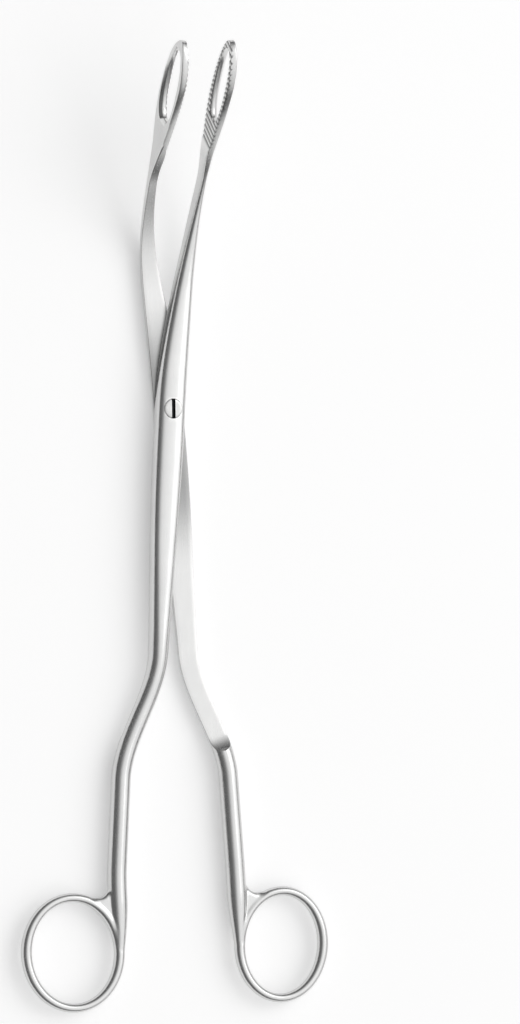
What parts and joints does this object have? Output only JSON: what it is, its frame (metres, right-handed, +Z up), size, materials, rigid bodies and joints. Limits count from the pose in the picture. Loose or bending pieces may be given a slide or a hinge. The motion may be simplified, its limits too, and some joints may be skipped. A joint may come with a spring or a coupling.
{
  "type": "placenta forceps",
  "caption": "Long curved surgical forceps with a slotted pivot screw, oval finger rings and windowed, toothed jaws.",
  "frame": {"origin": "on the pivot axis, in the plane of the flat back that the forceps lies on", "axes": "+X across the instrument, towards the rear arm's ring; +Y along it, towards the jaws; +Z up from the table, the way the jaws curve"},
  "size_m": [0.0936, 0.2778, 0.0436],
  "materials": {
    "arm_steel": "satin",
    "screw_steel": "satin"
  },
  "bodies": {
    "rear_half": {"rear_arm": "arm_steel", "pivot_screw": "screw_steel"},
    "front_half": {"front_arm": "arm_steel"}
  },
  "joints": [
    {"name": "pivot", "type": "hinge", "parent": "rear_half", "child": "front_half", "pos_m": [0, 0, 0.004], "axis": [0, 0, 1], "range_deg": [-38, 7.2]}
  ]
}
